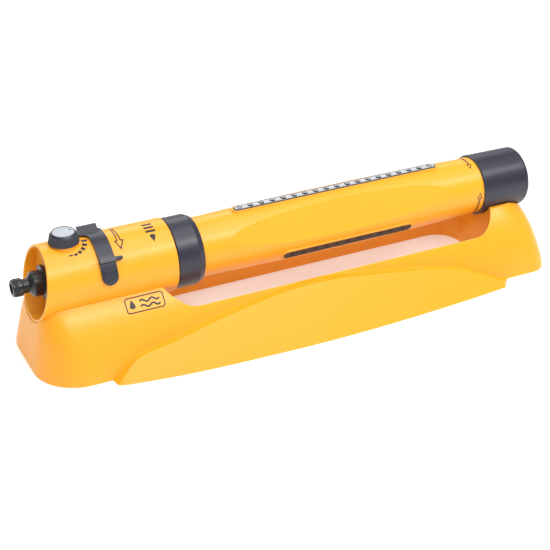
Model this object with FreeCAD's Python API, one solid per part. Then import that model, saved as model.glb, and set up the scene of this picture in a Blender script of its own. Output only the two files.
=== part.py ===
"""Oscillating lawn sprinkler: a ring-shaped sled base, a control housing with a hose
inlet, flow knob and two range tabs, a water motor with its gear train, and a spray tube
with three rows of jets that turns between a drive collar and an end cap.

Millimetres, +Z up, +X from the inlet along the tube. While a piece is drawn, X is the
station along the tube, counted from the housing's open rim; publish() then moves every
piece so that the origin is the middle of the footprint, on the ground.
"""
import FreeCAD, Part
import math
import os

V = FreeCAD.Vector

# ---- driving dimensions -------------------------------------------------------------
AXIS_Z = 74.0            # height of the tube's axis above the ground
INLET_REACH = 20.1       # the hose nipple's tip stands this far out of the rim
BASE_X = (-13.8, 492.3)  # ends of the sled on the ground
HOUSING_R = 33.0
HOUSING_WALL = 2.4
HOUSING_LEN = 120.2
RIM_SLANT = 0.2          # the open rim leans back by this much per millimetre of height
RIM_X = 0.6              # station of the rim at the height of the axis
COLLAR_X = (121.0, 146.4)
COLLAR_R = 32.0
TUBE_X = (140.0, 440.0)
TUBE_R = 27.1            # round ends of the spray tube
TUBE_MID_R = 29.0        # swell at mid length
TUBE_BORE = 21.8
CAP_X = (434.5, 485.5)
CAP_R = 28.9
CAP_END_R = 28.1

SLED_HALF_W = 59.5       # half width of the sled's barrel on the ground
SLED_CROWN = 70.0        # height at which the barrel section would close
SLED_WALL = 2.6
FOOT_FLARE = 3.0         # the barrel is this much wider at the ground than its arch
SLED_SECTIONS = (  # (height, left end, right end, left corner radius, right corner radius)
    (0.0, BASE_X[0], BASE_X[1], 40.0, 18.5), (12.0, -12.0, 492.2, 38.0, 20.5),
    (24.0, -9.8, 490.8, 35.0, 24.0), (36.0, -7.6, 488.6, 30.0, 27.0),
    (46.0, -5.5, 485.6, 26.0, 30.0), (54.0, -4.0, 482.2, 23.0, 31.0), (60.5, -2.6, 479.0, 21.0, 32.0))
SKIRT_X = (43.6, 433.5)
SKIRT_SLOPE = 0.75       # the skirts lean in by this much per millimetre of height
SKIRT_PLAN = ((30.0, 60.0), (39.0, 65.0), (46.0, 71.5), (53.0, 74.3), (62.0, 75.8), (75.0, 77.8),
              (110.0, 82.0), (170.0, 85.5), (245.0, 87.3), (320.0, 85.0), (385.0, 80.6),
              (SKIRT_X[1], 75.6))  # (station, half width) on the ground
SKIRT_CREASE = ((38.0, -5.0), (55.0, 9.0), (67.0, 16.3), (91.0, 21.6), (125.0, 28.5), (157.0, 34.2),
                (189.0, 38.8), (222.0, 41.9), (254.0, 42.2), (300.0, 37.8), (345.0, 31.8),
                (373.0, 27.0), (397.0, 20.6), (414.0, 13.2), (427.0, 7.2), (450.0, -1.5))
TIP_RUN = (12.0, 15.0)   # the skirt's tail end runs this far back and in
RAMP_SPREAD = (3.0, 2.0, 1.0)  # the crease's first points move this far out across the skirt
WINDOW_X = (99.0, 442.0)
WINDOW_HALF_W = 45.5
RIB_X = (22.0, 62.0, 450.0, 468.0)
WINDOW_CORNERS = (34.0, 24.0)

SCREW_X = (40.0, 84.0)
SCREW_HEAD_Z = 30.0
WEB_X = (12.0, 14.5)     # wall across the housing, behind the inlet's recess
KNOB_X = 29.0            # the flow knob's upright axis
KNOB_Z0 = AXIS_Z + HOUSING_R + 0.9
KNOB_Z1 = AXIS_Z + 43.6
KNOB_RIBS = 36
PLUG_R = 7.0             # flow valve's barrel
STEM_R = 5.0             # its stem
STEM_SEAL_Z = (AXIS_Z + 20.0, AXIS_Z + 22.2)
TAB_X = (50.3, 64.5)
TAB_THICK = 2.0
WING_X = 43.6            # the thumb plate reaches this far towards the knob
ARCH_R = 8.0             # hollow between the plate's wing and the strap
FINGER_R = 1.8
PIN_REACH = 5.0
BAR_ANGLES = (36.5, 42.8)
BAR_RISE = 2.5
FOOT_ANGLE = 32.0        # where the tabs' feet pass through the housing
TAB_TRAVEL = 20.0
INDEX_ANGLE = 38.0       # small moulded index beside the front tab
DOT_PITCH = 2.5
CASE_X = (46.0, 96.0)    # the water motor's case
CASE_R = 24.8
CASE_WALL = 1.8
GEAR_PLATE_X = (58.6, 60.2)
REAR_PLATE_X = (83.0, 85.0)
TRAIN_X = (61.0, 66.6, 72.2)  # the three compound gears
BULKHEAD_X = (111.0, 115.0)
SEAL_X = (98.6, 101.0)
SHAFT_R = 8.0
STRIP_W = 8.2
STRIP_TOP = 30.2         # radius of the nozzle strip's outer face
STRIPS = {  # name: (start, end, degrees from straight up towards the back, first jet, pitch, jets)
    "nozzle_strip_long": (186.5, 394.5, 0.0, 203.0, 10.87, 17),
    "nozzle_strip_middle": (205.0, 375.0, 120.0, 215.0, 12.5, 13),
    "nozzle_strip_short": (224.0, 356.0, 240.0, 233.0, 11.4, 11),
}
PIPE_R = 12.0
PIPE_BORE = 10.0
CLEAR = 0.3              # gap between pieces that move past each other
FIT = 0.06               # radial play of a running fit

MODULE = 0.6
BIG_TEETH = 30
SMALL_TEETH = 12
BACKLASH = 0.14
PRESSURE = math.radians(20.0)
IDLER_OFFSET = MODULE * (BIG_TEETH + SMALL_TEETH) / 2 + 0.08
PIN_R = 1.5

SHIFT_X = -(BASE_X[1] - INLET_REACH) / 2


# ---- helpers ------------------------------------------------------------------------
def publish(name, shape):
    """Move a piece from its drawing station to the part's frame and write it."""
    piece = shape.removeSplitter()
    piece.translate(V(SHIFT_X, 0, 0))
    piece.exportStep("parts/%s.step" % name)


def rod(r, x0, x1, y=0.0, z=AXIS_Z):
    """Round bar along X."""
    return Part.makeCylinder(r, x1 - x0, V(x0, y, z), V(1, 0, 0))


def ring(r_out, r_in, x0, x1):
    return rod(r_out, x0, x1).cut(rod(r_in, x0 - 1, x1 + 1))


def post(r, z0, z1, x, y=0.0):
    """Round bar along Z."""
    return Part.makeCylinder(r, z1 - z0, V(x, y, z0), V(0, 0, 1))


def block(x0, x1, y0, y1, z0, z1):
    return Part.makeBox(x1 - x0, y1 - y0, z1 - z0, V(x0, y0, z0))


def turned(profile):
    """Solid of revolution about the tube's axis; profile is a list of (station, radius)."""
    points = [V(x, 0, AXIS_Z + r) for x, r in profile]
    face = Part.Face(Part.makePolygon(points + [points[0]]))
    return face.revolve(V(0, 0, AXIS_Z), V(1, 0, 0), 360)


def around(shape, degrees):
    """Copy turned about the tube's axis, from straight up towards the back."""
    copy = shape.copy()
    copy.rotate(V(0, 0, AXIS_Z), V(1, 0, 0), -degrees)
    return copy


def union(shapes):
    whole = shapes[0]
    return whole.fuse(list(shapes[1:])) if len(shapes) > 1 else whole


def sector(r_out, r_in, x0, x1, low, high):
    """Part of a ring between two angles; 0 is the front, 90 is straight up."""
    points = [V(x0, -r_in, AXIS_Z), V(x1, -r_in, AXIS_Z), V(x1, -r_out, AXIS_Z), V(x0, -r_out, AXIS_Z)]
    face = Part.Face(Part.makePolygon(points + [points[0]]))
    solid = face.revolve(V(0, 0, AXIS_Z), V(1, 0, 0), -(high - low))
    solid.rotate(V(0, 0, AXIS_Z), V(1, 0, 0), -low)
    return solid


def rounded_plan(x0, x1, half_w, r_left, r_right, z):
    """Closed outline of a rounded rectangle lying at height z."""
    edges = []
    corners = ((x1, half_w, r_right, 0), (x0, half_w, r_left, 90),
               (x0, -half_w, r_left, 180), (x1, -half_w, r_right, 270))
    arcs = []
    for x, y, r, start in corners:
        cx = x - math.copysign(r, x - (x0 + x1) / 2)
        cy = y - math.copysign(r, y)
        arcs.append(Part.ArcOfCircle(Part.Circle(V(cx, cy, z), V(0, 0, 1), r),
                                     math.radians(start), math.radians(start + 90)))
    for i, arc in enumerate(arcs):
        edges.append(arc.toShape())
        follower = arcs[(i + 1) % 4]
        edges.append(Part.makeLine(arc.EndPoint, follower.StartPoint))
    return Part.Wire(edges)


def slot_bar(x0, x1, width, r0, r1):
    """Upright bar with round ends, over the axis, between two radii."""
    r = width / 2
    body = block(x0 + r, x1 - r, -r, r, AXIS_Z + r0, AXIS_Z + r1)
    ends = [post(r, AXIS_Z + r0, AXIS_Z + r1, x) for x in (x0 + r, x1 - r)]
    return union([body] + ends)


def spur(teeth, x0, x1, axis_z, phase):
    """Involute spur gear on an axis along X; phase turns its first tooth from straight up."""
    pitch_r = MODULE * teeth / 2
    base_r = pitch_r * math.cos(PRESSURE)
    root_r = pitch_r - 1.25 * MODULE
    tip_r = pitch_r + 0.9 * MODULE
    half = math.pi / (2 * teeth) - BACKLASH / (2 * pitch_r) + math.tan(PRESSURE) - PRESSURE
    start_r = max(base_r, root_r)
    flank = []
    for k in range(4):
        r = start_r + (tip_r - start_r) * k / 3
        lean = math.acos(min(1.0, base_r / r))
        flank.append((r, half - (math.tan(lean) - lean)))
    if root_r < base_r:
        flank.insert(0, (root_r, flank[0][1]))
    points = []
    for i in range(teeth):
        centre = 2 * math.pi * i / teeth + math.radians(phase)
        for r, a in [(r, -a) for r, a in flank] + [(r, a) for r, a in reversed(flank)]:
            points.append(V(x0, r * math.sin(centre + a), axis_z + r * math.cos(centre + a)))
    face = Part.Face(Part.makePolygon(points + [points[0]]))
    return face.extrude(V(x1 - x0, 0, 0))


# ---- the sled -----------------------------------------------------------------------
def barrel_half_w(z):
    """Half width of the barrel-shaped sled at height z."""
    arch = SLED_HALF_W * (1 - (z / SLED_CROWN) ** 1.6) ** 0.448
    return arch + FOOT_FLARE * max(0.0, 1 - z / 40.0) ** 2


def barrel(inset, drop):
    """The sled's rounded body, drawn inwards by inset and down by drop."""
    outlines = []
    for z, left, right, r_left, r_right in SLED_SECTIONS:
        half_w = barrel_half_w(z) - inset
        corners = [min(r - inset, half_w - 0.5) for r in (r_left, r_right)]
        outlines.append(rounded_plan(left + inset, right - inset, half_w, *corners, z - drop))
    return Part.makeLoft(outlines, True, False)


def leaf_outline(y, spread, inset):
    """Leaf-shaped side outline of a skirt in the plane at y."""
    middle = sum(SKIRT_X) / 2
    points = []
    for i, (x, z) in enumerate(SKIRT_CREASE):
        x += math.copysign(inset, middle - x) + (spread[i] if i < len(spread) else 0.0)
        points.append(V(x, y, z - inset))
    curve = Part.BSplineCurve()
    curve.interpolate(points)
    return Part.Wire([curve.toShape(), Part.makeLine(points[-1], points[0])])


def skirts(inset):
    """Two bulging side skirts that stand out from the barrel below a leaf-shaped crease."""
    outlines = []
    for z in (-1.0, 44.0):
        plan = [V(x, y - inset - SKIRT_SLOPE * z, z) for x, y in SKIRT_PLAN]
        bow = Part.BSplineCurve()
        bow.interpolate(plan)
        tail = plan[-1] + V(TIP_RUN[0], -TIP_RUN[1], 0)
        back = [plan[-1], tail, V(tail.x, 0, z), V(plan[0].x, 0, z), plan[0]]
        outlines.append(Part.Wire([bow.toShape()] + Part.makePolygon(back).Edges))
    wedge = Part.makeLoft(outlines, True, True)
    leaf = Part.makeLoft([leaf_outline(y, spread, inset)
                          for y, spread in ((0.0, ()), (62.0, ()), (78.0, RAMP_SPREAD))], True, True)
    outer = leaf_outline(78.0, RAMP_SPREAD, inset)
    leaf = leaf.fuse(Part.Face(outer).extrude(V(0, 20, 0)))
    back_side = wedge.common(leaf)
    front_side = back_side.mirror(V(0, 0, 0), V(0, 1, 0))
    return [back_side, front_side]


def window(grow, z0, z1):
    outline = rounded_plan(WINDOW_X[0] - grow, WINDOW_X[1] + grow, WINDOW_HALF_W + grow,
                           WINDOW_CORNERS[0] + grow, WINDOW_CORNERS[1] + grow, z0)
    return Part.Face(outline).extrude(V(0, 0, z1 - z0))


def base_frame():
    """One hollow moulding: cradle block, saddle block and two rails round an open window."""
    cradle_r = HOUSING_R + 0.1
    saddle_r = CAP_R + 0.45
    skin = union([barrel(0.0, 0.0)] + skirts(0.0))
    ground = block(-60, 560, -120, 120, -20, 0)
    skin = skin.cut(ground)
    kept = [rod(cradle_r + SLED_WALL, -60, 125), rod(saddle_r + SLED_WALL, 425, 560),
            window(SLED_WALL, -5, 90)]
    cavity = union([barrel(SLED_WALL, SLED_WALL)] + skirts(SLED_WALL)).cut(union(kept))
    frame = skin.cut(cavity)
    ribs = [block(x, x + 2.0, -90, 90, 2.0, 80) for x in RIB_X]
    bosses = [post(5.0, 6.0, 60, x) for x in SCREW_X]
    frame = frame.fuse([cavity.common(piece) for piece in ribs + bosses])
    removed = [rod(cradle_r, -60, 135), rod(saddle_r, 425, 560), window(0.0, -5, 90)]
    removed += [post(1.9, 0, 60, x) for x in SCREW_X]
    removed += [post(3.6, 0, SCREW_HEAD_Z, x) for x in SCREW_X]
    return frame.cut(union(removed))


def housing_screws():
    """Two screws that come up through the cradle into the housing."""
    screws = []
    for x in SCREW_X:
        head = post(3.2, SCREW_HEAD_Z - 2.4, SCREW_HEAD_Z, x)
        drive = block(x - 0.5, x + 0.5, -2.4, 2.4, SCREW_HEAD_Z - 2.5, SCREW_HEAD_Z - 1.4)
        shank = post(1.6, SCREW_HEAD_Z, AXIS_Z - HOUSING_R + 7.0, x)
        screws.append(head.cut(drive).fuse(shank))
    return Part.makeCompound(screws)


# ---- the control housing ------------------------------------------------------------
def control_housing():
    bore = HOUSING_R - HOUSING_WALL
    shell = turned([(-10.0, bore), (-10.0, HOUSING_R), (HOUSING_LEN - 0.5, HOUSING_R),
                    (HOUSING_LEN, HOUSING_R - 0.5), (HOUSING_LEN, bore)])
    front = block(-60, RIM_X, -50, 50, AXIS_Z - 50, AXIS_Z + 50)
    front.rotate(V(RIM_X, 0, AXIS_Z), V(0, 1, 0), math.degrees(math.atan(RIM_SLANT)))
    shell = shell.cut(front)
    rim = [e for e in shell.Edges if e.BoundBox.XMax < 20 and e.BoundBox.YLength > HOUSING_R]
    shell = shell.makeFillet(0.7, rim)
    web = rod(bore + 0.2, *WEB_X)
    boss = post(12.0, AXIS_Z + 27.0, AXIS_Z + HOUSING_R + 0.5, KNOB_X)
    boss = boss.cut(rod(bore, 0, HOUSING_LEN))
    sockets = [post(4.0, AXIS_Z - HOUSING_R + 0.8, AXIS_Z - HOUSING_R + 8.0, x) for x in SCREW_X]
    sockets = [s.common(rod(HOUSING_R - 0.3, 0, HOUSING_LEN)) for s in sockets]
    index = Part.makeCone(0.3, 0.8, 6.4, V(43.2, 0, AXIS_Z + HOUSING_R), V(1, 0, 0))
    body = union([shell, web, boss, around(index, INDEX_ANGLE - 90.0)] + sockets)
    holes = [rod(12.7, WEB_X[0] - 1, WEB_X[1] + 1), post(STEM_R + CLEAR, AXIS_Z + 20, AXIS_Z + 50, KNOB_X)]
    holes += [post(1.62, 0, AXIS_Z - HOUSING_R + 7.2, x) for x in SCREW_X]
    low = FOOT_ANGLE - TAB_TRAVEL - 4.0
    high = FOOT_ANGLE + 4.0
    holes.append(sector(HOUSING_R + 1, bore - 1, 53.4, 59.6, low, high))
    holes.append(sector(HOUSING_R + 1, bore - 1, 53.4, 59.6, 180 - high, 180 - low))
    return body.cut(union(holes))


def inlet_connector():
    """Click-on hose nipple: tip with a seal groove, waist, flare and screwed-in flange."""
    tip = -INLET_REACH
    outer = [(tip, 6.9), (tip + 0.8, 7.7), (tip + 2.2, 7.7), (tip + 2.2, 6.2), (tip + 4.3, 6.2),
             (tip + 4.3, 8.0), (tip + 8.5, 8.0), (tip + 9.6, 6.4), (tip + 14.6, 6.4),
             (tip + 18.2, 11.2), (5.6, 11.2), (6.4, 15.0), (9.4, 15.0), (9.4, 12.5), (30.0, 12.5)]
    body = turned([(tip, 0.0)] + outer + [(30.0, 0.0)])
    body = body.cut(rod(5.0, tip - 1, 31))
    body = body.cut(rod(6.6, tip + 16.0, 31))
    keys = [around(block(9.4, 12.0, -1.5, 1.5, AXIS_Z + 11.5, AXIS_Z + 14.6), a) for a in (60, 180, 300)]
    return union([body] + keys).cut(post(PLUG_R + 0.4, AXIS_Z - 20, AXIS_Z + 20, KNOB_X))


def inlet_seal():
    centre = V(-INLET_REACH + 3.25, 0, AXIS_Z)
    return Part.makeTorus(6.2 + 0.98, 0.95, centre, V(1, 0, 0))


def inlet_filter():
    """Fine strainer cup inside the nipple."""
    cup = rod(4.85, -4.0, 8.0).cut(rod(4.0, -4.5, 7.0))
    rim = ring(6.5, 4.0, -2.9, -1.6)
    rows = []
    for i in range(4):
        for a in range(0, 360, 45):
            hole = Part.makeCylinder(0.8, 3.0, V(1.2 + 1.7 * i, 0, AXIS_Z + 3.0), V(0, 0, 1))
            rows.append(around(hole, a + 22.5 * (i % 2)))
    return cup.fuse(rim).cut(union(rows))


def valve_body():
    """Flow valve behind the web: a straight duct crossed by the upright plug."""
    duct = rod(15.0, WEB_X[1] + 0.1, 44.0)
    tower = post(10.0, AXIS_Z - 16.0, AXIS_Z + 27.5, KNOB_X)
    body = duct.fuse(tower)
    body = body.cut(rod(12.6, WEB_X[1] - 1, 30.1))
    body = body.cut(rod(6.0, 29.0, 45.0))
    plug_room = post(PLUG_R + FIT, AXIS_Z - 12.0, AXIS_Z + 12.0, KNOB_X)
    stem_room = post(STEM_R + FIT, AXIS_Z + 11.0, AXIS_Z + 40.0, KNOB_X)
    return body.cut(plug_room.fuse(stem_room))


def valve_plug():
    """Barrel with a cross hole; its stem comes out under the knob."""
    barrel_part = post(PLUG_R, AXIS_Z - 11.9, AXIS_Z + 10.6, KNOB_X)
    stem = post(STEM_R, AXIS_Z + 10.6, AXIS_Z + 34.0, KNOB_X)
    spline = post(3.2, AXIS_Z + 34.0, AXIS_Z + 40.3, KNOB_X)
    flat = block(KNOB_X - 6, KNOB_X + 6, 2.2, 6, AXIS_Z + 34.0, AXIS_Z + 41.0)
    groove = post(6.0, *STEM_SEAL_Z, KNOB_X).cut(post(4.0, AXIS_Z + 19, AXIS_Z + 23, KNOB_X))
    cross = rod(4.6, KNOB_X - 9, KNOB_X + 9)
    screw_hole = post(1.3, AXIS_Z + 32.9, AXIS_Z + 41.0, KNOB_X)
    return union([barrel_part, stem, spline]).cut(union([flat, groove, cross, screw_hole]))


def valve_seal():
    return Part.makeTorus(4.0 + 0.97, 0.95 - 0.001, V(KNOB_X, 0, AXIS_Z + 21.1), V(0, 0, 1)).common(
        post(STEM_R, *STEM_SEAL_Z, KNOB_X))


def flow_knob():
    """Fluted skirt, a little wider at its foot, with a recess for the dial disc."""
    skirt = Part.makeCone(13.0, 11.4, KNOB_Z1 - KNOB_Z0 - 1.6, V(KNOB_X, 0, KNOB_Z0), V(0, 0, 1))
    brow = Part.makeCone(11.4, 10.2, 1.6, V(KNOB_X, 0, KNOB_Z1 - 1.6), V(0, 0, 1))
    ribs = []
    for i in range(KNOB_RIBS):
        root = V(KNOB_X + 13.0, 0, KNOB_Z0 + 0.3)
        rib = Part.makeCone(0.55, 0.45, KNOB_Z1 - KNOB_Z0 - 2.2, root, V(-0.19, 0, 1))
        rib.rotate(V(KNOB_X, 0, 0), V(0, 0, 1), 360.0 * i / KNOB_RIBS)
        ribs.append(rib)
    body = union([skirt, brow] + ribs)
    hollow = post(10.4, KNOB_Z0 - 1, KNOB_Z1 - 5.0, KNOB_X)
    hub = post(5.2, KNOB_Z0, KNOB_Z1 - 4.0, KNOB_X)
    stem = post(3.25, AXIS_Z + 33.9, AXIS_Z + 40.8, KNOB_X).cut(
        block(KNOB_X - 6, KNOB_X + 6, 2.25, 6, AXIS_Z + 33, AXIS_Z + 41.0))
    collar = post(5.1, KNOB_Z0 - 1, AXIS_Z + 34.1, KNOB_X)
    screw_hole = post(1.6, AXIS_Z + 36, KNOB_Z1 + 1, KNOB_X)
    recess = post(9.4, KNOB_Z1 - 1.6, KNOB_Z1 + 1, KNOB_X)
    head_room = post(2.9, KNOB_Z1 - 3.2, KNOB_Z1, KNOB_X)
    return body.cut(hollow).fuse(hub).cut(union([stem, collar, screw_hole, recess, head_room]))


def knob_dial():
    """Pale domed disc with a small pointer dimple."""
    dome = Part.makeSphere(60.0, V(KNOB_X, 0, KNOB_Z1 + 0.5 - 60.0))
    disc = post(9.3, KNOB_Z1 - 1.55, KNOB_Z1 + 2, KNOB_X).common(dome)
    dimple = post(0.9, KNOB_Z1 - 0.3, KNOB_Z1 + 2, KNOB_X + 6.3, 0.8)
    return disc.cut(dimple)


def knob_screw():
    head = post(2.8, KNOB_Z1 - 3.15, KNOB_Z1 - 1.65, KNOB_X)
    slot = block(KNOB_X - 2.2, KNOB_X + 2.2, -0.4, 0.4, KNOB_Z1 - 2.3, KNOB_Z1 - 1.6)
    return head.cut(slot).fuse(post(1.3, AXIS_Z + 33.0, KNOB_Z1 - 3.15, KNOB_X))


# ---- range tabs ---------------------------------------------------------------------
def tab_strap(low, high):
    """Curved strap that hugs the housing, with a round lower end."""
    r0 = HOUSING_R + CLEAR
    r1 = r0 + TAB_THICK
    half = (TAB_X[1] - TAB_X[0]) / 2
    mid_x = (TAB_X[0] + TAB_X[1]) / 2
    turn = math.degrees(half / r1)
    strap = sector(r1, r0, TAB_X[0], TAB_X[1], low + turn, high)
    end_stub = sector(r1, r0, TAB_X[0], TAB_X[1], low - 1, low + turn)
    nose = Part.makeCylinder(half, 60, V(mid_x, 0, AXIS_Z), V(0, -1, 0))
    nose.rotate(V(0, 0, AXIS_Z), V(1, 0, 0), -(low + turn))
    return strap.fuse(end_stub.common(nose))


def tab_foot(angle):
    """Stalk through the housing's slot with a wider snap foot inside."""
    stalk = sector(HOUSING_R + 1.0, HOUSING_R - HOUSING_WALL - 0.9, 54.0, 59.0, angle - 3, angle + 3)
    bore = HOUSING_R - HOUSING_WALL
    foot = sector(bore - 0.4, bore - 1.4, 52.0, 61.0, angle - 2.5, angle + 2.5)
    return stalk.fuse(foot)


def grip_dots():
    """Staggered dots in an oval on the tab's lower end."""
    r1 = HOUSING_R + CLEAR + TAB_THICK
    mid_x = (TAB_X[0] + TAB_X[1]) / 2
    dots = []
    for row, count in enumerate((2, 3, 4, 3, 4, 3, 4, 3, 2)):
        for i in range(count):
            x = mid_x + DOT_PITCH * (i - (count - 1) / 2)
            dot = Part.makeCone(0.9, 0.6, 1.0, V(x, 0, AXIS_Z + r1 - 0.4), V(0, 0, 1))
            dots.append(around(dot, 8.5 + 2.9 * row - 90.0))
    return dots


def cross_bar():
    """Raised bar across the tab that ends in a round-nosed finger pin."""
    r1 = HOUSING_R + CLEAR + TAB_THICK
    bar = sector(r1 + BAR_RISE, r1 - 0.8, TAB_X[0] + 0.3, TAB_X[1] + 0.2, *BAR_ANGLES)
    pin_end = V(TAB_X[1] + PIN_REACH, 0, AXIS_Z + r1 + 0.4)
    pin = Part.makeCylinder(FINGER_R, PIN_REACH + 2.0, pin_end - V(PIN_REACH + 2.0, 0, 0), V(1, 0, 0))
    return bar.fuse(around(pin.fuse(Part.makeSphere(FINGER_R, pin_end)), sum(BAR_ANGLES) / 2 - 90.0))


def thumb_plate():
    """Plate that leans back from the tab's top, with an arched wing on its inlet side."""
    r0 = HOUSING_R + CLEAR
    r1 = r0 + TAB_THICK
    wing = sector(r1, r0, WING_X, TAB_X[0] + 0.5, 80.0, 98.0)
    arch = Part.makeCylinder(ARCH_R, 60, V(TAB_X[0] - ARCH_R, 0, AXIS_Z), V(0, -1, 0))
    arch.rotate(V(0, 0, AXIS_Z), V(1, 0, 0), -82.0)
    corners = [V(0, 2.6, AXIS_Z + 34.8), V(0, 9.6, AXIS_Z + 39.7), V(0, 11.3, AXIS_Z + 39.4),
               V(0, 11.3, AXIS_Z + 37.6), V(0, 5.0, AXIS_Z + 33.0)]
    side = Part.Face(Part.makePolygon(corners + [corners[0]]))
    side.translate(V(WING_X, 0, 0))
    plate = side.extrude(V(TAB_X[1] - 3.2 - WING_X, 0, 0))
    return wing.cut(arch).fuse(plate).cut(rod(r0, 30, 80))


def range_tab_front():
    strap = tab_strap(4.0, 116.0)
    return union([strap, thumb_plate(), cross_bar(), tab_foot(FOOT_ANGLE)] + grip_dots())


def range_tab_rear():
    """Shorter tab, mirrored, on the back of the housing."""
    tab = union([tab_strap(4.0, 58.0), cross_bar(), tab_foot(FOOT_ANGLE)] + grip_dots())
    return tab.mirror(V(0, 0, 0), V(0, 1, 0))


# ---- water motor --------------------------------------------------------------------
def motor_case():
    """Clear cup that holds the wheel and the gears, closed at the front by the jet plate."""
    cup = rod(CASE_R, *CASE_X).cut(rod(CASE_R - CASE_WALL, CASE_X[0] - 1, CASE_X[1] - 2.0))
    shaft_hole = rod(SHAFT_R + FIT, CASE_X[1] - 3, CASE_X[1] + 1)
    flip_slot = sector(CASE_R + 1, CASE_R - 3, 52.0, 55.0, -102, -78)
    return cup.cut(union([shaft_hole, flip_slot]))


def jet_plate():
    """Front plate with two sets of slanted jets that drive the wheel either way."""
    plate = rod(CASE_R - CASE_WALL, CASE_X[0], CASE_X[0] + 3.0)
    jets = []
    for i in range(6):
        jet = block(CASE_X[0] - 1, CASE_X[0] + 4, -1.2, 1.2, AXIS_Z + 12.0, AXIS_Z + 17.0)
        jet.rotate(V(CASE_X[0] + 1.5, 0, AXIS_Z + 14.5), V(0, 0, 1), 35 if i % 2 else -35)
        jets.append(around(jet, 60 * i + 30))
    spigot = ring(15.0, 13.0, 44.0, CASE_X[0] + 0.5)
    bore = rod(PIN_R, CASE_X[0] + 1.0, CASE_X[0] + 4.0)
    return plate.fuse(spigot).cut(union(jets + [bore]))


def gear_plate():
    plate = rod(CASE_R - CASE_WALL, *GEAR_PLATE_X)
    holes = [rod(5.0, 58, 61), rod(PIN_R, 58, 61, 0, AXIS_Z - IDLER_OFFSET)]
    holes += [around(rod(3.0, 58, 61, 0, AXIS_Z + 15), a) for a in range(0, 360, 60) if a != 180]
    return plate.cut(union(holes))


def rear_gear_plate():
    plate = rod(CASE_R - CASE_WALL, *REAR_PLATE_X)
    holes = [rod(SHAFT_R + CLEAR, 82, 86), rod(PIN_R, 82, 86, 0, AXIS_Z - IDLER_OFFSET)]
    holes += [around(rod(2.5, 82, 86, 0, AXIS_Z + 16), a) for a in (0, 60, 120, 240, 300)]
    return plate.cut(union(holes))


def central_axle():
    return rod(PIN_R, CASE_X[0] + 1.0, 79.6)


def idler_axle():
    return rod(PIN_R, GEAR_PLATE_X[0], REAR_PLATE_X[1], 0, AXIS_Z - IDLER_OFFSET)


def turbine_wheel():
    """Bladed wheel with its pinion, free on the central axle."""
    hub = rod(4.0, 50.2, 57.4)
    disc = rod(17.0, 53.2, 54.2)
    blades = []
    for i in range(12):
        blade = block(50.6, 57.0, -0.5, 0.5, AXIS_Z + 9.0, AXIS_Z + 17.0)
        blades.append(around(blade, 30.0 * i))
    pinion = spur(SMALL_TEETH, 57.0, 64.0, AXIS_Z, 180.0)
    return union([hub, disc, pinion] + blades).cut(rod(PIN_R + FIT, 49, 65))


def compound_gear(x0, on_idler):
    """Thirty-tooth wheel and twelve-tooth pinion in one piece."""
    axis_z = AXIS_Z - IDLER_OFFSET if on_idler else AXIS_Z
    toward_mate = 0.0 if on_idler else 180.0
    wheel = spur(BIG_TEETH, x0, x0 + 3.0, axis_z, toward_mate + 180.0 / BIG_TEETH)
    pinion = spur(SMALL_TEETH, x0 + 3.0, x0 + 8.8, axis_z, toward_mate)
    return wheel.fuse(pinion).cut(rod(PIN_R + FIT, x0 - 1, x0 + 10, 0, axis_z))


def output_gear():
    """Last wheel of the train, keyed to the output shaft."""
    wheel = spur(BIG_TEETH, 77.9, 80.6, AXIS_Z, 180.0 + 180.0 / BIG_TEETH)
    dogs = [around(block(80.5, 82.0, -1.0, 1.0, AXIS_Z + 5.0, AXIS_Z + 6.6), a) for a in (0, 120, 240)]
    return union([wheel] + dogs).cut(rod(PIN_R + FIT, 77, 80.0))


def output_shaft():
    """Hollow shaft: water enters its windows and leaves through the collar."""
    shaft = ring(SHAFT_R, 6.0, 80.65, 133.0)
    floor = rod(7.0, 80.65, 82.4)
    keyways = [around(block(80.0, 82.0, -1.05, 1.05, AXIS_Z + 4.9, AXIS_Z + 6.7), a) for a in (0, 120, 240)]
    windows = [around(block(86.5, 92.5, -2.5, 2.5, AXIS_Z + 4, AXIS_Z + 10), a) for a in range(45, 360, 90)]
    flange = rod(11.0, 127.6, 131.0).cut(rod(7.0, 127, 132))
    return union([shaft, floor, flange]).cut(union(keyways + windows))


def shaft_seal():
    return ring(10.5, SHAFT_R + 0.02, *SEAL_X)


def bearing_plate():
    """Bulkhead that carries the output shaft in the housing's far end."""
    bore = HOUSING_R - HOUSING_WALL
    plate = rod(bore - 0.05, *BULKHEAD_X)
    sleeve = rod(13.0, 97.0, 115.5)
    arm_way = sector(bore + 1, 27.9, 110, 116, 34.0, 146.0)
    seal_room = rod(10.5, *SEAL_X)
    through = rod(10.0, 96, 117)
    return plate.fuse(sleeve).cut(union([arm_way, seal_room, through]))


def shaft_bush():
    return ring(10.0, SHAFT_R + FIT, 101.2, 115.5)


def trip_ring():
    """Reversing ring round the motor case, with two dogs and a tongue to the jet vane."""
    band = ring(28.0, CASE_R + CLEAR, 52.0, 58.5)
    dogs = [sector(28.9, 27.0, 52.0, 58.5, a - 3, a + 3) for a in (24, 156)]
    tongue = sector(CASE_R + 1, CASE_R - 3.4, 52.5, 54.5, -93, -87)
    return union([band, tongue] + dogs)


def trip_spring():
    """Bent wire that holds the ring at either end of its throw."""
    legs = [block(59.0, 68.0, -6.4, -5.6, AXIS_Z - 28.0, AXIS_Z - 27.2),
            block(59.0, 68.0, 5.6, 6.4, AXIS_Z - 28.0, AXIS_Z - 27.2),
            block(67.2, 68.0, -6.4, 6.4, AXIS_Z - 28.0, AXIS_Z - 27.2)]
    foot = block(65.0, 68.0, -2.0, 2.0, AXIS_Z - 28.0, AXIS_Z - 24.75)
    return union(legs + [foot]).cut(rod(CASE_R, 40, 100))


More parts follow.
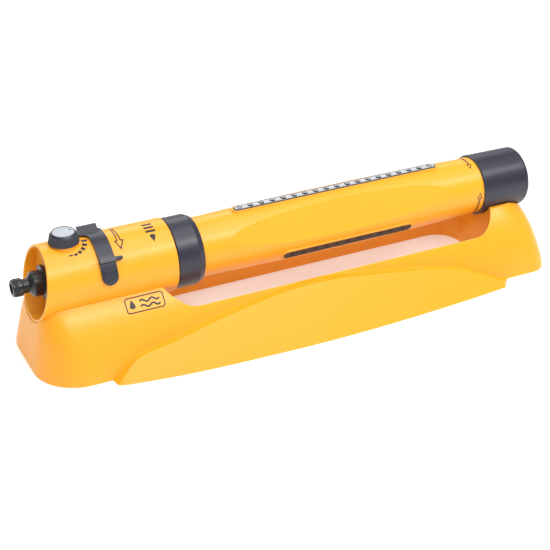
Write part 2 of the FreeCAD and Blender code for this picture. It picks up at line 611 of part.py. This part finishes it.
# ---- collar, pipe, tube, cap --------------------------------------------------------
def drive_collar():
    """Dark ring between housing and tube; turns with the output shaft."""
    x0, x1 = COLLAR_X
    inner = TUBE_R + CLEAR
    shell = turned([(x0, inner), (x0, COLLAR_R - 0.8), (x0 + 0.8, COLLAR_R), (x1 - 5.2, COLLAR_R),
                    (x1 - 0.6, COLLAR_R - 2.2), (x1, COLLAR_R - 2.8), (x1, inner)])
    web = ring(COLLAR_R - 0.5, 11.1, 127.5, 131.1)
    spigot = ring(24.0, 21.4, 131.0, 146.0)
    hub = ring(16.0, PIPE_R + 0.02, 131.0, 139.0)
    return union([shell, web, spigot, hub]).cut(sector(31.0, 28.4, 120, 133, 87.0, 93.0))


def sweep_arm():
    """Finger from the collar along the housing's inside; it meets the tabs' feet."""
    return sector(30.1, 28.5, 53.0, 131.0, 87.2, 92.8)


def distributor_pipe():
    """Inner pipe from the shaft to the end cap, with ports under the uppermost row."""
    pipe = ring(PIPE_R, PIPE_BORE, 131.1, 478.0)
    step = rod(PIPE_BORE + 0.5, 131.1, 134.0).cut(rod(8.02, 130, 135))
    ports = [block(x, x + 12, -2.0, 2.0, AXIS_Z + 8, AXIS_Z + 14) for x in range(200, 380, 24)]
    return pipe.fuse(step).cut(union(ports))


def end_cap():
    """Closed dark cap that runs in the saddle."""
    x0, x1 = CAP_X
    edge = 3.5
    outline = [V(x0, 0, AXIS_Z + CAP_R - 0.8), V(x0 + 0.8, 0, AXIS_Z + CAP_R),
               V(x1 - edge, 0, AXIS_Z + CAP_END_R + 0.1)]
    corner = Part.Arc(outline[2], V(x1 - edge * 0.29, 0, AXIS_Z + CAP_END_R - edge * 0.29),
                      V(x1, 0, AXIS_Z + CAP_END_R - edge))
    inner = [V(x1, 0, AXIS_Z + CAP_END_R - edge), V(x1, 0, AXIS_Z), V(x0, 0, AXIS_Z), outline[0]]
    face = Part.Face(Part.Wire(Part.makePolygon(outline).Edges + [corner.toShape()]
                               + Part.makePolygon(inner).Edges))
    body = face.revolve(V(0, 0, AXIS_Z), V(1, 0, 0), 360)
    web_x = TUBE_X[1] + 1.0
    hollow = ring(CAP_R - 2.8, 15.0, web_x + 2.4, x1 - 2.4)
    socket = rod(TUBE_R + CLEAR, x0 - 1, web_x)
    pipe_hole = rod(PIPE_R + 0.02, x0 - 1, 478.2)
    spigot = ring(24.0, 21.4, 434.2, web_x + 0.2)
    plug_hole = rod(8.05, 478, x1 + 1)
    return body.cut(union([hollow, socket])).fuse(spigot).cut(union([pipe_hole, plug_hole]))


def flush_plug():
    """Plug that closes the pipe and opens it for rinsing."""
    stem = rod(8.0, 470.0, CAP_X[1])
    head = rod(9.9, 470.0, 473.0)
    slot = block(CAP_X[1] - 1.5, CAP_X[1] + 1, -6.0, 6.0, AXIS_Z - 1.0, AXIS_Z + 1.0)
    return stem.fuse(head).cut(slot)


def spray_tube():
    """Round at both ends, swelling to three ridges with leaf-shaped scallops between."""
    x0, x1 = TUBE_X
    swell = (160.0, 420.0)
    mid = (swell[0] + swell[1]) / 2
    bow = Part.Arc(V(swell[0], 0, AXIS_Z + TUBE_R), V(mid, 0, AXIS_Z + TUBE_MID_R),
                   V(swell[1], 0, AXIS_Z + TUBE_R))
    start = Part.makePolygon([V(x0, 0, AXIS_Z), V(x0, 0, AXIS_Z + TUBE_R), V(swell[0], 0, AXIS_Z + TUBE_R)])
    finish = Part.makePolygon([V(swell[1], 0, AXIS_Z + TUBE_R), V(x1, 0, AXIS_Z + TUBE_R),
                               V(x1, 0, AXIS_Z), V(x0, 0, AXIS_Z)])
    face = Part.Face(Part.Wire(start.Edges + [bow.toShape()] + finish.Edges))
    body = face.revolve(V(0, 0, AXIS_Z), V(1, 0, 0), 360)
    depth_r = 24.3
    leaf_half = 114.0
    sag = 3.6
    big_r = leaf_half ** 2 / (2 * sag)
    leaf = Part.makeCylinder(big_r, 80, V(283.0, 40, AXIS_Z + depth_r + big_r), V(0, -1, 0))
    body = body.cut([around(leaf, a) for a in (60.0, 180.0, 300.0)])
    frames = []
    slots = []
    for x_a, x_b, turn, _, _, _ in STRIPS.values():
        frames.append(around(slot_bar(x_a - 1.8, x_b + 1.8, STRIP_W + 3.6, 24.0, STRIP_TOP - 0.9), turn))
        slots.append(around(slot_bar(x_a - 0.05, x_b + 0.05, STRIP_W + 0.1, 20.0, 40.0), turn))
    bores = [rod(TUBE_BORE, x0 - 1, x1 + 1), rod(24.3, x0 - 1, x0 + 7.0), rod(24.3, x1 - 7.0, x1 + 1)]
    return body.fuse(frames).cut(union(bores + slots))


def nozzle_strip(name):
    """Soft strip with a row of ringed jets over a water channel."""
    x_a, x_b, turn, first, pitch, jets = STRIPS[name]
    top = STRIP_TOP if turn == 0.0 else STRIP_TOP - 0.4
    bar = slot_bar(x_a, x_b, STRIP_W, TUBE_BORE + 0.2, top)
    trough = slot_bar(x_a + 3, x_b - 3, STRIP_W - 1.0, 13.0, TUBE_BORE + 0.3)
    water = slot_bar(x_a + 5, x_b - 5, 4.2, 12.0, top - 2.4)
    rings = [post(2.0, AXIS_Z + top - 0.5, AXIS_Z + top + 0.8, first + i * pitch) for i in range(jets)]
    holes = [post(0.75, AXIS_Z + top - 4, AXIS_Z + top + 2, first + i * pitch) for i in range(jets)]
    return around(union([bar, trough] + rings).cut(union([water] + holes)), turn)


# ---- write every piece --------------------------------------------------------------
def main():
    os.makedirs("parts", exist_ok=True)
    pieces = {
        "base_frame": base_frame, "housing_screws": housing_screws,
        "control_housing": control_housing, "inlet_connector": inlet_connector,
        "inlet_seal": inlet_seal, "inlet_filter": inlet_filter, "valve_body": valve_body,
        "valve_plug": valve_plug, "valve_seal": valve_seal, "flow_knob": flow_knob,
        "knob_dial": knob_dial, "knob_screw": knob_screw,
        "range_tab_front": range_tab_front, "range_tab_rear": range_tab_rear,
        "motor_case": motor_case, "jet_plate": jet_plate, "gear_plate": gear_plate,
        "rear_gear_plate": rear_gear_plate, "central_axle": central_axle,
        "idler_axle": idler_axle, "turbine_wheel": turbine_wheel,
        "output_gear": output_gear, "output_shaft": output_shaft, "shaft_seal": shaft_seal,
        "bearing_plate": bearing_plate, "shaft_bush": shaft_bush, "trip_ring": trip_ring,
        "trip_spring": trip_spring, "drive_collar": drive_collar, "sweep_arm": sweep_arm,
        "distributor_pipe": distributor_pipe, "end_cap": end_cap, "flush_plug": flush_plug,
        "spray_tube": spray_tube,
    }
    for name, make in pieces.items():
        publish(name, make())
    for number, (x0, on_idler) in enumerate(zip(TRAIN_X, (True, False, True)), 1):
        publish("compound_gear_%d" % number, compound_gear(x0, on_idler))
    for name in STRIPS:
        publish(name, nozzle_strip(name))


main()
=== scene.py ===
"""Looks of the oscillating sprinkler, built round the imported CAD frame.

Stations are millimetres along the tube from the housing's open rim, as the part's source
has them, and row() turns one into the frame's metres. Round the tube, angle 0 faces the
front (-Y) and 90 points straight up.
"""
import bmesh
import bpy
import math
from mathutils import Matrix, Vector
from mathutils.bvhtree import BVHTree


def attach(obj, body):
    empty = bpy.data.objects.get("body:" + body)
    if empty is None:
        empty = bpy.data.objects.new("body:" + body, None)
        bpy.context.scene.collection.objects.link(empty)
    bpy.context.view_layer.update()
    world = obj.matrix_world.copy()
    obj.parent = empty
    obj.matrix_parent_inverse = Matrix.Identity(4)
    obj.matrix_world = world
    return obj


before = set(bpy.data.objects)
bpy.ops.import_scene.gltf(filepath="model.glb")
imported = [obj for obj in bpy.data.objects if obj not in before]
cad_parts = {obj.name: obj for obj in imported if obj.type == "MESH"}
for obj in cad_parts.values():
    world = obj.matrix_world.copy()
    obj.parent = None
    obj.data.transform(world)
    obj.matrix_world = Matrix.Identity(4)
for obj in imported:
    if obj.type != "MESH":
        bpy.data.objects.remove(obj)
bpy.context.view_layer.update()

MM = 0.001
AXIS_Z = 74.0
SHIFT_X = -236.1
HOUSING_R = 33.0
TUBE_R = 27.1
KNOB_X = 29.0
KNOB_TOP_Z = AXIS_Z + 44.0
LONG_STRIP = (186.5, 394.5, 0.0, 203.0, 10.87)  # start, end, angle, first jet, pitch
SIGN_X = 103.5           # middle of the sign on the housing


def row(x, y, z):
    """A point given in stations, in the frame's metres."""
    return Vector(((x + SHIFT_X) * MM, y * MM, z * MM))


# ---- camera, lights and floor -------------------------------------------------------
AZIMUTH = math.radians(-25.63)
ELEVATION = math.radians(30.04)
TARGET = Vector((-0.0146, -0.0123, 0.0336))
DISTANCE = 1.3403


def toward(azimuth, elevation):
    """Unit vector from the object towards a point at that bearing; 0 is the front."""
    return Vector((math.sin(azimuth) * math.cos(elevation),
                   -math.cos(azimuth) * math.cos(elevation), math.sin(elevation)))


def aim(thing, place, target):
    thing.location = place
    thing.rotation_mode = "QUATERNION"
    thing.rotation_quaternion = (place - target).to_track_quat("Z", "Y")


def camera():
    data = bpy.data.cameras.new("camera")
    data.lens = 95.86
    data.sensor_width = 36.0
    data.clip_start = 0.05
    data.clip_end = 50.0
    made = bpy.data.objects.new("camera", data)
    bpy.context.scene.collection.objects.link(made)
    aim(made, TARGET + toward(AZIMUTH, ELEVATION) * DISTANCE, TARGET)
    bpy.context.scene.camera = made


def softbox(name, azimuth, elevation, distance, size, power):
    data = bpy.data.lights.new(name, "AREA")
    data.shape = "RECTANGLE"
    data.size, data.size_y = size
    data.energy = power
    made = bpy.data.objects.new(name, data)
    bpy.context.scene.collection.objects.link(made)
    place = toward(math.radians(azimuth), math.radians(elevation)) * distance
    aim(made, place, Vector((0, 0, 0.03)))


def studio():
    softbox("front", 20, 52, 1.4, (1.6, 0.22), 14.0)
    softbox("overhead", 0, 84, 1.7, (2.2, 1.2), 19.0)
    softbox("back", 178, 36, 1.8, (2.4, 0.7), 13.0)
    world = bpy.data.worlds.new("studio")
    bpy.context.scene.world = world
    world.use_nodes = True
    sky = world.node_tree.nodes["Background"]
    sky.inputs["Color"].default_value = (1.0, 1.0, 1.0, 1.0)
    sky.inputs["Strength"].default_value = 0.38
    view = bpy.context.scene.view_settings
    view.view_transform = "Standard"
    view.look = "None"
    view.exposure = 0.0


# ---- materials ----------------------------------------------------------------------
class Graph:
    """Short way to add nodes to a material."""

    def __init__(self, name):
        self.material = bpy.data.materials.new(name)
        self.material.use_nodes = True
        self.nodes = self.material.node_tree.nodes
        self.links = self.material.node_tree.links
        self.shader = self.nodes["Principled BSDF"]
        self.place = self.nodes.new("ShaderNodeTexCoord").outputs["Object"]

    def add(self, kind, settings=None, **inputs):
        node = self.nodes.new("ShaderNode" + kind)
        for key, value in (settings or {}).items():
            setattr(node, key, value)
        for key, value in inputs.items():
            self.put(node, key, value)
        return node

    def put(self, node, key, value):
        socket = node.inputs[int(key[1:])] if key[0] == "_" else node.inputs[key.replace("_", " ")]
        if isinstance(value, bpy.types.NodeSocket):
            self.links.new(value, socket)
        else:
            socket.default_value = value

    def math(self, operation, a, b=0.0, clamp=False):
        return self.add("Math", {"operation": operation, "use_clamp": clamp}, _0=a, _1=b).outputs[0]

    def noise(self, scale, detail=3.0, roughness=0.5, place=None):
        return self.add("TexNoise", Vector=place or self.place, Scale=scale, Detail=detail,
                        Roughness=roughness).outputs["Fac"]

    def ramp(self, factor, stops):
        node = self.add("ValToRGB", Fac=factor)
        line = node.color_ramp
        for i, (at, value) in enumerate(stops):
            stop = line.elements[i] if i < 2 else line.elements.new(at)
            stop.position = at
            stop.color = value if len(value) == 4 else (*value, 1.0)
        return node.outputs["Color"]

    def mix(self, factor, a, b, blend="MIX"):
        node = self.add("Mix", {"data_type": "RGBA", "blend_type": blend}, _0=factor)
        for slot, value in ((6, a), (7, b)):
            self.put(node, "_%d" % slot, value if isinstance(value, bpy.types.NodeSocket)
                     else (*value, 1.0)[:4])
        return node.outputs[2]

    def span(self, factor, low, high):
        """A 0 to 1 value stretched to low..high."""
        return self.add("MapRange", Value=factor, To_Min=low, To_Max=high).outputs[0]


def edge_mask(g, radius):
    """1 on sharp edges, 0 on open faces."""
    soft = g.add("Bevel", {"samples": 4}, Radius=radius).outputs[0]
    flat = g.add("NewGeometry").outputs["Normal"]
    dot = g.add("VectorMath", {"operation": "DOT_PRODUCT"}, _0=soft, _1=flat).outputs["Value"]
    turned = g.math("SUBTRACT", 1.0, dot)
    return g.math("MULTIPLY", turned, 7.0, clamp=True)


def plastic(name, base, cloud, edge_highlight, rough, peel, grain=1500.0, edge=0.0005, colour=None, **fixed):
    """Moulded plastic: cloudy colour, fine orange peel, uneven gloss, painted highlight on edges.

    base and cloud are the main and mottled colours, and the third colour is a painted highlight
    laid on sharp edges; rough is (low, high);
    peel is the height of the texture in metres; colour may recolour parts of it.
    """
    g = Graph(name)
    large = g.noise(14.0, 4.0, 0.55)
    fine = g.noise(grain, 2.0, 0.6)
    body = g.mix(g.span(large, 0.0, 1.0), base, cloud)
    flecks = g.ramp(fine, [(0.32, (0.93, 0.93, 0.93)), (0.62, (1.0, 1.0, 1.0))])
    body = g.mix(1.0, body, flecks, "MULTIPLY")
    # Painted highlight: sharp edges are lightened towards the third colour.
    body = g.mix(edge_mask(g, edge * 1.6), body, edge_highlight)
    if colour:
        body = colour(g, body)
    g.put(g.shader, "Base Color", body)
    smudge = g.noise(55.0, 5.0, 0.62)
    g.put(g.shader, "Roughness", g.span(smudge, *rough))
    corner = g.add("Bevel", {"samples": 4}, Radius=edge).outputs[0]
    relief = g.add("Bump", Strength=0.55, Distance=peel, Height=fine, Normal=corner).outputs[0]
    g.put(g.shader, "Normal", relief)
    for key, value in fixed.items():
        g.put(g.shader, key, value)
    return g.material


def capsule(g, x0, x1, turn):
    """Distance in metres of a point from the middle line of a strip that runs x0..x1."""
    angle = math.radians(turn)
    at = g.add("VectorMath", {"operation": "SUBTRACT"}, _0=g.place, _1=row(0, 0, AXIS_Z)).outputs[0]
    straight = g.add("VectorRotate", {"rotation_type": "X_AXIS"}, Vector=at, Angle=angle).outputs[0]
    split = g.add("SeparateXYZ", Vector=straight)
    along = g.math("DIVIDE", split.outputs["X"], MM)
    beyond = g.math("MAXIMUM", g.math("SUBTRACT", x0, along), g.math("SUBTRACT", along, x1))
    beyond = g.math("MAXIMUM", beyond, 0.0)
    across = g.math("DIVIDE", split.outputs["Y"], MM)
    far = g.math("POWER", g.math("ADD", g.math("MULTIPLY", beyond, beyond),
                                 g.math("MULTIPLY", across, across)), 0.5)
    return far, along, across


def strip_colour(x0, x1, turn, first, pitch, rim, band, hole_shade):
    """Rubber strip: dark rim, paler middle band, and jets with a dark ring, their holes filled with
    painted shade.
    """
    def paint(g, body):
        far, along, across = capsule(g, x0 + 4.1, x1 - 4.1, turn)
        in_band = g.math("LESS_THAN", far, 2.9)
        step = g.math("ADD", g.math("SUBTRACT", along, first), pitch / 2)
        step = g.math("SUBTRACT", g.math("FLOORED_MODULO", step, pitch), pitch / 2)
        near = g.math("POWER", g.math("ADD", g.math("MULTIPLY", step, step),
                                      g.math("MULTIPLY", across, across)), 0.5)
        # Painted shade: the jet holes get a near-black colour.
        in_shaded_hole = g.math("LESS_THAN", near, 0.85)
        in_disc = g.math("LESS_THAN", near, 1.75)
        in_ring = g.math("SUBTRACT", g.math("LESS_THAN", near, 2.75), in_disc)
        mottled = g.mix(0.75, body, g.mix(in_band, rim, band))
        mottled = g.mix(in_ring, mottled, rim)
        return g.mix(in_shaded_hole, mottled, hole_shade)
    return paint


def dial_colour(g, body):
    """Dark pointer dimple on the pale disc."""
    spot = g.add("VectorMath", {"operation": "SUBTRACT"}, _0=g.place,
                 _1=row(KNOB_X + 6.3, 0.8, KNOB_TOP_Z)).outputs[0]
    split = g.add("SeparateXYZ", Vector=spot)
    flat = g.add("CombineXYZ", X=split.outputs["X"], Y=split.outputs["Y"]).outputs[0]
    far = g.add("VectorMath", {"operation": "LENGTH"}, _0=flat).outputs["Value"]
    return g.mix(g.math("LESS_THAN", far, 0.0009), body, (0.01, 0.012, 0.02))


def make_materials():
    made = {}
    # In each plastic below, the third colour is the painted highlight on its sharp edges.
    made["yellow_shell"] = plastic(
        "yellow_shell", (0.97, 0.405, 0.014), (0.96, 0.38, 0.011), (0.98, 0.49, 0.04),
        (0.30, 0.42), 0.00003, 1500.0, 0.0006, Subsurface_Weight=0.10, Subsurface_Scale=0.003,
        Subsurface_Radius=(1.0, 0.6, 0.1), Specular_IOR_Level=0.5)
    made["dark_trim"] = plastic(
        "dark_trim", (0.019, 0.020, 0.034), (0.024, 0.025, 0.042), (0.075, 0.08, 0.105),
        (0.30, 0.42), 0.00004, 1700.0, 0.0004)
    made["black_inlet"] = plastic(
        "black_inlet", (0.012, 0.012, 0.014), (0.018, 0.018, 0.021), (0.05, 0.05, 0.055),
        (0.22, 0.36), 0.00002, 1300.0, 0.0003)
    made["dial_grey"] = plastic(
        "dial_grey", (0.42, 0.45, 0.49), (0.38, 0.41, 0.45), (0.60, 0.63, 0.67),
        (0.32, 0.46), 0.00002, 1500.0, 0.0003, dial_colour)
    made["strip_grey"] = plastic(
        "strip_grey", (0.33, 0.34, 0.36), (0.26, 0.27, 0.29), (0.5, 0.51, 0.53),
        (0.38, 0.55), 0.00003, 1800.0, 0.0002,
        strip_colour(*LONG_STRIP,
                     # the last colour is painted shade inside the jet holes
                     (0.012, 0.012, 0.016), (0.50, 0.51, 0.54), (0.006, 0.006, 0.008)))
    made["strip_dark"] = plastic(
        "strip_dark", (0.030, 0.018, 0.012), (0.040, 0.024, 0.015), (0.08, 0.055, 0.04),
        (0.45, 0.60), 0.00003, 1800.0, 0.0002)
    made["white_plastic"] = plastic(
        "white_plastic", (0.74, 0.73, 0.69), (0.70, 0.68, 0.63), (0.85, 0.84, 0.80),
        (0.32, 0.46), 0.00002, 1200.0, 0.0003)
    made["motor_clear"] = plastic(
        "motor_clear", (0.74, 0.80, 0.82), (0.70, 0.77, 0.80), (0.88, 0.92, 0.93),
        (0.08, 0.16), 0.00001, 900.0, 0.0003, Transmission_Weight=0.7, IOR=1.49)
    made["pipe_grey"] = plastic(
        "pipe_grey", (0.30, 0.31, 0.32), (0.26, 0.27, 0.28), (0.42, 0.43, 0.44),
        (0.36, 0.5), 0.00002, 1200.0, 0.0003)
    made["steel"] = plastic(
        "steel", (0.56, 0.56, 0.55), (0.48, 0.48, 0.47), (0.74, 0.74, 0.73),
        (0.22, 0.38), 0.00001, 900.0, 0.0002, Metallic=1.0)
    made["seal_rubber"] = plastic(
        "seal_rubber", (0.020, 0.020, 0.022), (0.03, 0.03, 0.032), (0.05, 0.05, 0.05),
        (0.5, 0.68), 0.00002, 1500.0, 0.0002)
    made["bronze_bush"] = plastic(
        "bronze_bush", (0.50, 0.31, 0.13), (0.42, 0.25, 0.10), (0.68, 0.47, 0.24),
        (0.28, 0.42), 0.00002, 1100.0, 0.0002, Metallic=1.0)
    made["mark_ink"] = plastic(
        "mark_ink", (0.012, 0.010, 0.010), (0.020, 0.016, 0.014), (0.02, 0.02, 0.02),
        (0.40, 0.55), 0.00001, 2200.0, 0.0001)
    return made


# ---- printed marks ------------------------------------------------------------------
def on_cylinder(radius):
    """Maps a mark's (station, arc length, height) onto a cylinder round the tube's axis."""
    def place(u, v, h):
        turn = v / radius
        return row(u, -(radius + h) * math.cos(turn), AXIS_Z + (radius + h) * math.sin(turn))
    return place


def on_node(node, origin, u_way, v_way, inward):
    """Maps a mark's flat (u, v, height) onto a CAD node's skin, along a fixed direction."""
    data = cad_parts[node].data
    tree = BVHTree.FromPolygons([v.co for v in data.vertices], [p.vertices for p in data.polygons])
    out = inward * -1.0

    def place(u, v, h):
        start = origin + u_way * (u * MM) + v_way * (v * MM) + out * 0.03
        hit, normal, _, _ = tree.ray_cast(start, inward)
        side = normal if normal.dot(out) > 0 else -normal
        return hit + side * (h * MM)
    return place


class Print:
    """One printed mark: ribbons laid on a surface as a thin closed film."""

    LOW, HIGH = -0.12, 0.05

    def __init__(self, name, body, place):
        self.name = name
        self.body = body
        self.place = place
        self.mesh = bmesh.new()

    def ribbon(self, points, widths, columns=1, closed=False):
        """A band along points, each with its half width, as a closed solid."""
        count = len(points)
        rails = []
        for i, (u, v) in enumerate(points):
            before = points[i - 1] if i or closed else points[i]
            after = points[(i + 1) % count] if i < count - 1 or closed else points[i]
            du, dv = after[0] - before[0], after[1] - before[1]
            size = math.hypot(du, dv) or 1.0
            nu, nv = -dv / size, du / size
            if (i or closed) and (i < count - 1 or closed):
                au, av = u - before[0], v - before[1]
                half = (au * du + av * dv) / ((math.hypot(au, av) or 1.0) * size)
                stretch = 1.0 / max(0.45, abs(half))
            else:
                stretch = 1.0
            w = widths[i] * stretch
            rails.append([(u + nu * w * k, v + nv * w * k)
                          for k in (2.0 * c / columns - 1.0 for c in range(columns + 1))])
        low, high = ([[self.mesh.verts.new(self.place(u, v, h)) for u, v in rail] for rail in rails]
                     for h in (self.LOW, self.HIGH))
        face = self.mesh.faces.new
        spans = range(count) if closed else range(count - 1)
        for i in spans:
            j = (i + 1) % count
            for c in range(columns):
                face((high[i][c], high[i][c + 1], high[j][c + 1], high[j][c]))
                face((low[i][c + 1], low[i][c], low[j][c], low[j][c + 1]))
            face((low[i][0], high[i][0], high[j][0], low[j][0]))
            face((high[i][columns], low[i][columns], low[j][columns], high[j][columns]))
        if not closed:
            for i in (0, count - 1):
                for c in range(columns):
                    face((low[i][c], low[i][c + 1], high[i][c + 1], high[i][c]))

    def stroke(self, points, width, closed=False, step=1.2):
        """A line of even width through points, cut fine enough to lie on the surface."""
        path = []
        ends = list(points) + ([points[0]] if closed else [])
        for a, b in zip(ends, ends[1:]):
            cuts = max(1, round(math.dist(a, b) / step))
            path += [(a[0] + (b[0] - a[0]) * k / cuts, a[1] + (b[1] - a[1]) * k / cuts)
                     for k in range(cuts)]
        if not closed:
            path.append(points[-1])
        self.ribbon(path, [width / 2] * len(path), closed=closed)

    def finish(self, material):
        bmesh.ops.recalc_face_normals(self.mesh, faces=self.mesh.faces)
        data = bpy.data.meshes.new(self.name)
        self.mesh.to_mesh(data)
        self.mesh.free()
        data.materials.append(material)
        made = bpy.data.objects.new(self.name, data)
        bpy.context.scene.collection.objects.link(made)
        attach(made, self.body)
        return made


def curve(points, steps=8):
    """Smooth path through points (Catmull-Rom)."""
    path = []
    for i in range(len(points) - 1):
        p = [points[max(i - 1, 0)], points[i], points[i + 1], points[min(i + 2, len(points) - 1)]]
        for k in range(steps):
            t = k / steps
            path.append(tuple(0.5 * (2 * p[1][n] + (p[2][n] - p[0][n]) * t
                                     + (2 * p[0][n] - 5 * p[1][n] + 4 * p[2][n] - p[3][n]) * t * t
                                     + (3 * p[1][n] - p[0][n] - 3 * p[2][n] + p[3][n]) * t ** 3)
                              for n in range(2)))
    return path + [points[-1]]


def arrow_outline(print_, tail, head, half_w, head_w, head_len, line, bend=0.0):
    """Open-ended outlined arrow from tail to head, its shaft bowed sideways by bend."""
    length = math.dist(tail, head)
    au, av = (head[0] - tail[0]) / length, (head[1] - tail[1]) / length
    nu, nv = -av, au

    def at(s, t):
        bow = bend * 4 * (s / length) * (1 - s / length)
        return (tail[0] + au * s + nu * (t + bow), tail[1] + av * s + nv * (t + bow))
    neck = length - head_len
    cuts = (0, neck * 0.35, neck * 0.7, neck)
    left = curve([at(s, half_w * (0.55 + 0.45 * s / neck)) for s in cuts], 5)
    right = curve([at(s, -half_w * (0.55 + 0.45 * s / neck)) for s in cuts], 5)
    tip = [at(neck, head_w), at(length, 0.0), at(neck, -head_w)]
    print_.stroke(left + tip + right[::-1], line, step=0.8)


def marks(ink):
    housing = Print("housing_print", "base", on_cylinder(HOUSING_R))

    def spot(x, degrees, radius=HOUSING_R):
        return (x, math.radians(degrees) * radius)

    arrow_outline(housing, spot(73.2, 104.0), spot(73.0, 53.5), 1.5, 3.6, 8.5, 1.15, 0.6)
    scale = [(29.4, 60.0), (33.8, 60.0), (37.8, 62.6), (41.5, 67.6), (44.2, 74.6), (45.6, 83.7)]
    for i, (x, degrees) in enumerate(scale):
        u, v = spot(x, degrees)
        knob_v = math.radians(90.0) * HOUSING_R
        away = math.atan2(v - knob_v, u - KNOB_X)
        grow = 0.75 + 0.36 * i
        along = 1.6
        side = (-math.sin(away), math.cos(away))
        housing.ribbon([(u - side[0] * along, v - side[1] * along), (u, v),
                        (u + side[0] * along, v + side[1] * along)], [grow] * 3, 2)
    pattern_sign(housing)
    housing.finish(ink)

    tube = Print("tube_print", "spray_tube_body", on_cylinder(TUBE_R))
    for tail, head in (((427.5, 112.0), (427.0, 64.0)), ((430.0, -49.0), (430.0, 9.0))):
        arrow_outline(tube, spot(*tail, TUBE_R), spot(*head, TUBE_R), 0.8, 2.2, 5.0, 0.85, 0.8)
    tube.finish(ink)

    out = Vector((0.0, -0.82, 0.57)).normalized()
    v_way = Vector((0.0, 0.57, 0.82)).normalized()
    centre = row(85.5, -40.0, 53.0) + v_way * (1.8 * MM)
    skin = on_node("base_frame", centre, Vector((1, 0, 0)), v_way, -out)
    label = Print("label_print", "base", skin)
    frame_line(label, 17.3, 6.6, 2.6, 1.1)
    wave_sign(label)
    label.finish(ink)


def frame_line(print_, half_u, half_v, corner, line):
    """Rounded rectangle outline."""
    path = []
    for su, sv, start in ((1, 1, 0), (-1, 1, 90), (-1, -1, 180), (1, -1, 270)):
        for k in range(7):
            a = math.radians(start + 15 * k)
            path.append((su * (half_u - corner) + corner * math.cos(a),
                         sv * (half_v - corner) + corner * math.sin(a)))
    print_.stroke(path, line, closed=True)


def drop(print_, u, v, size, lean=0.0):
    """Filled water drop; its point is up the arc, tilted by lean degrees."""
    tilt = math.radians(lean)
    points, widths = [], []
    for k in range(15):
        t = k / 14
        s = size * (t * 1.5 - 0.5)
        points.append((u + s * math.sin(tilt), v + s * math.cos(tilt)))
        if t < 1 / 3:
            swell = math.sqrt(max(0.0, 1 - (1 - 3 * t) ** 2))
        else:
            swell = (1 - (1.5 * t - 0.5)) ** 0.8
        widths.append(max(0.02, size * 0.5 * swell))
    print_.ribbon(points, widths, 4)


def pattern_sign(print_):
    """Generic sign for three spray patterns: a bold drop and three bars."""
    r = HOUSING_R
    drop(print_, SIGN_X, math.radians(62.5) * r, 5.2, 180.0)
    for i in range(3):
        v = math.radians(73.0 + 8.4 * i) * r
        print_.ribbon([(SIGN_X + 0.9 * k, v) for k in range(-5, 6)], [1.35] * 11, 2)


def wave_sign(print_):
    """Generic sign for water: a drop beside two waves."""
    drop(print_, -11.6, -0.8, 5.4)
    step, wave = 0.6, 9.0
    for v in (-2.6, 2.0):
        path = [(-4.5 + step * k, v + 1.15 * math.sin(step * k * 2 * math.pi / wave))
                for k in range(31)]
        print_.ribbon(path, [0.85] * len(path), 2)


# ---- floor --------------------------------------------------------------------------
def floor():
    mesh = bpy.data.meshes.new("floor")
    reach = 12.0
    corners = [(x * reach, y * reach, 0) for x, y in ((-1, -1), (1, -1), (1, 1), (-1, 1))]
    mesh.from_pydata(corners, [], [(0, 1, 2, 3)])
    g = Graph("floor_paper")
    tones = [(0.3, (0.90, 0.90, 0.90)), (0.7, (0.93, 0.93, 0.93))]
    g.put(g.shader, "Base Color", g.ramp(g.noise(2.0), tones))
    g.put(g.shader, "Roughness", 0.85)
    g.put(g.shader, "Emission Color", (1.0, 1.0, 1.0, 1.0))
    g.put(g.shader, "Emission Strength", 0.2)
    g.put(g.shader, "Normal", g.add("Bump", Strength=0.1, Distance=0.0001,
                                    Height=g.noise(900.0)).outputs[0])
    mesh.materials.append(g.material)
    made = bpy.data.objects.new("floor", mesh)
    bpy.context.scene.collection.objects.link(made)


def paint_nodes(materials):
    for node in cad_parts.values():
        for slot in node.material_slots:
            slot.material = materials[slot.material.name.split(".")[0]]


camera()
studio()
floor()
looks = make_materials()
paint_nodes(looks)
marks(looks["mark_ink"])
